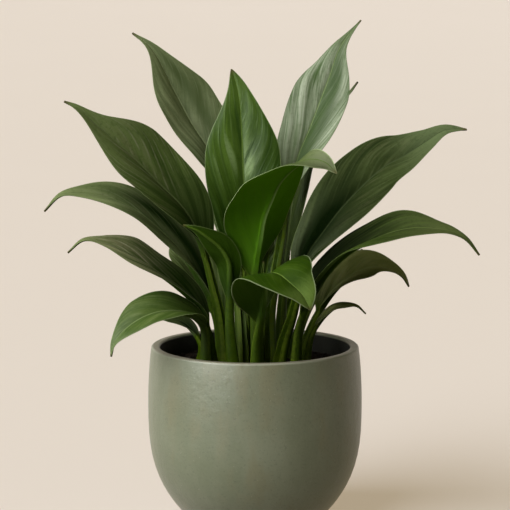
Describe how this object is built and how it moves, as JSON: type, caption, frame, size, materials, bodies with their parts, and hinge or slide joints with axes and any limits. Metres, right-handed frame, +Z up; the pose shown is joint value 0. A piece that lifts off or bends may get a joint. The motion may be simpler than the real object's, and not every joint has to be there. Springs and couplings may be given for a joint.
{
  "type": "potted cast iron plant",
  "caption": "House plant with broad, pointed, arching leaves on channelled stalks, growing from soil in a round-bellied matte ceramic planter.",
  "frame": {"origin": "middle of the planter's flat base, on the surface that it stands on", "axes": "+Z up; -Y is the front that the picture shows, where the small leaf folds forward; +X to the viewer's right"},
  "size_m": [0.3948, 0.2953, 0.4674],
  "materials": {
    "planter": "matte",
    "soil": "matte",
    "leaf": "satin",
    "young_leaf": "satin"
  },
  "bodies": {
    "root": {"planter": "planter", "soil": "soil", "leaf_upper_left": "leaf", "leaf_broad_left": "leaf", "leaf_left_arch": "leaf", "leaf_left_arch_low": "leaf", "leaf_left_droop": "leaf", "leaf_left_low": "leaf", "leaf_centre_upright": "leaf", "leaf_centre_front": "leaf", "leaf_small_front": "leaf", "leaf_inner_left": "leaf", "leaf_upper_right": "leaf", "leaf_upper_right_back": "leaf", "leaf_right_broad": "leaf", "leaf_right_arch": "leaf", "leaf_right_arch_low": "leaf", "leaf_right_low": "leaf", "leaf_back_left": "leaf", "leaf_back_right": "leaf", "leaf_back_low_left": "leaf", "leaf_back_low_right": "leaf", "leaf_back_centre": "leaf", "shoot_left": "young_leaf", "shoot_right": "young_leaf"}
  },
  "joints": []
}
